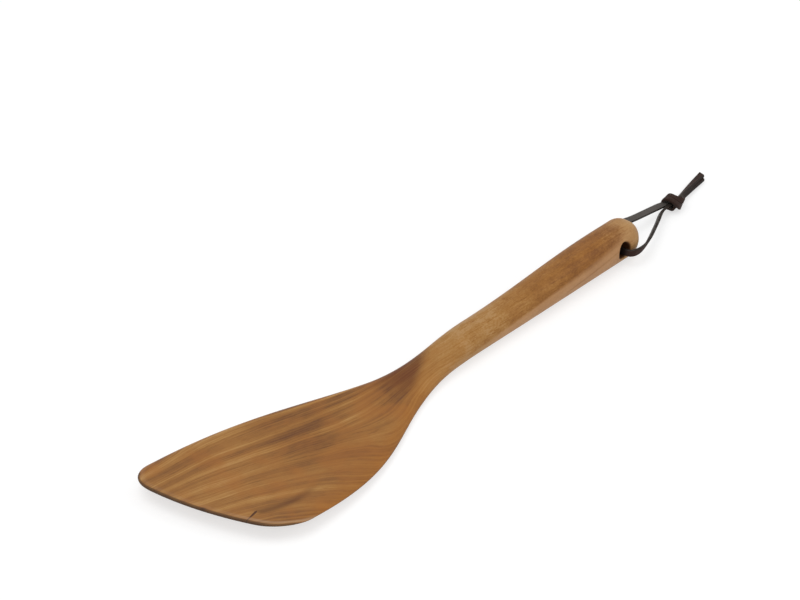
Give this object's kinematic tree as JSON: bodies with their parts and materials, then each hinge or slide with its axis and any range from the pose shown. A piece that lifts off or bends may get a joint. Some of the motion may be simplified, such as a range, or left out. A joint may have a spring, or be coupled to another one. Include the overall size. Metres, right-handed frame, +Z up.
{
  "type": "wooden turner",
  "caption": "Carved wooden turner with a thin slanted blade that lifts at the front, a rounded grip, and a knotted leather lace through the end of the grip for hanging it up.",
  "frame": {"origin": "on the surface that the turner lies on, under the middle of the wooden body", "axes": "+X along the grip towards its rounded end and the lace, +Y towards the long side of the slanted blade, +Z up from the surface"},
  "size_m": [0.3812, 0.076, 0.02],
  "materials": {
    "oiled_wood": "oiled, satin",
    "lace_leather": "matt, undyed cut edges"
  },
  "bodies": {
    "turner": {"wooden_body": "oiled_wood"},
    "lace": {"lace_strand_short_side": "lace_leather", "lace_strand_long_side": "lace_leather", "lace_knot": "lace_leather", "lace_tail_long": "lace_leather", "lace_tail_short": "lace_leather"}
  },
  "joints": [
    {"name": "lace_swing", "type": "hinge", "parent": "turner", "child": "lace", "pos_m": [0.13243, 0, 0.01], "axis": [0, -1, 0], "range_deg": [-140, 150]}
  ]
}
